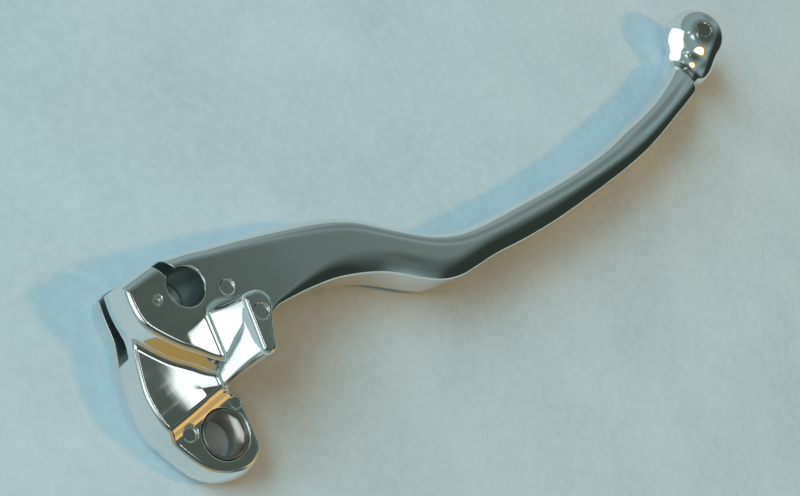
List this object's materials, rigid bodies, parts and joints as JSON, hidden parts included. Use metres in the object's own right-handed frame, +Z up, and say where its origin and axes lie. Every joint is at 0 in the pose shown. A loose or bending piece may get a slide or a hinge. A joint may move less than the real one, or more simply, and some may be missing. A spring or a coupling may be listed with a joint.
{
  "type": "clutch lever",
  "caption": "Cable-operated hand lever with a pivot bush, a blind pocket and slot for the cable barrel, an upright stop tab and a dog-leg blade ending in a ball.",
  "frame": {"origin": "on the pivot axis, in the plane that the lever lies on, which is also the lower end of the pivot bush", "axes": "+Z up along the pivot axis, towards the stop tab; +X from the pivot towards the ball end; the handlebar grip is on the -Y side"},
  "size_m": [0.2079, 0.0457, 0.0225],
  "materials": {
    "polished_alloy": "mirror polished cast alloy",
    "bush_steel": "plain turned steel"
  },
  "bodies": {
    "bush": {"pivot_bush": "bush_steel"},
    "lever": {"lever_casting": "polished_alloy"}
  },
  "joints": [
    {"name": "lever_pull", "type": "hinge", "parent": "bush", "child": "lever", "pos_m": [0, 0, 0], "axis": [0, 0, -1], "range_deg": [0, 24]}
  ]
}
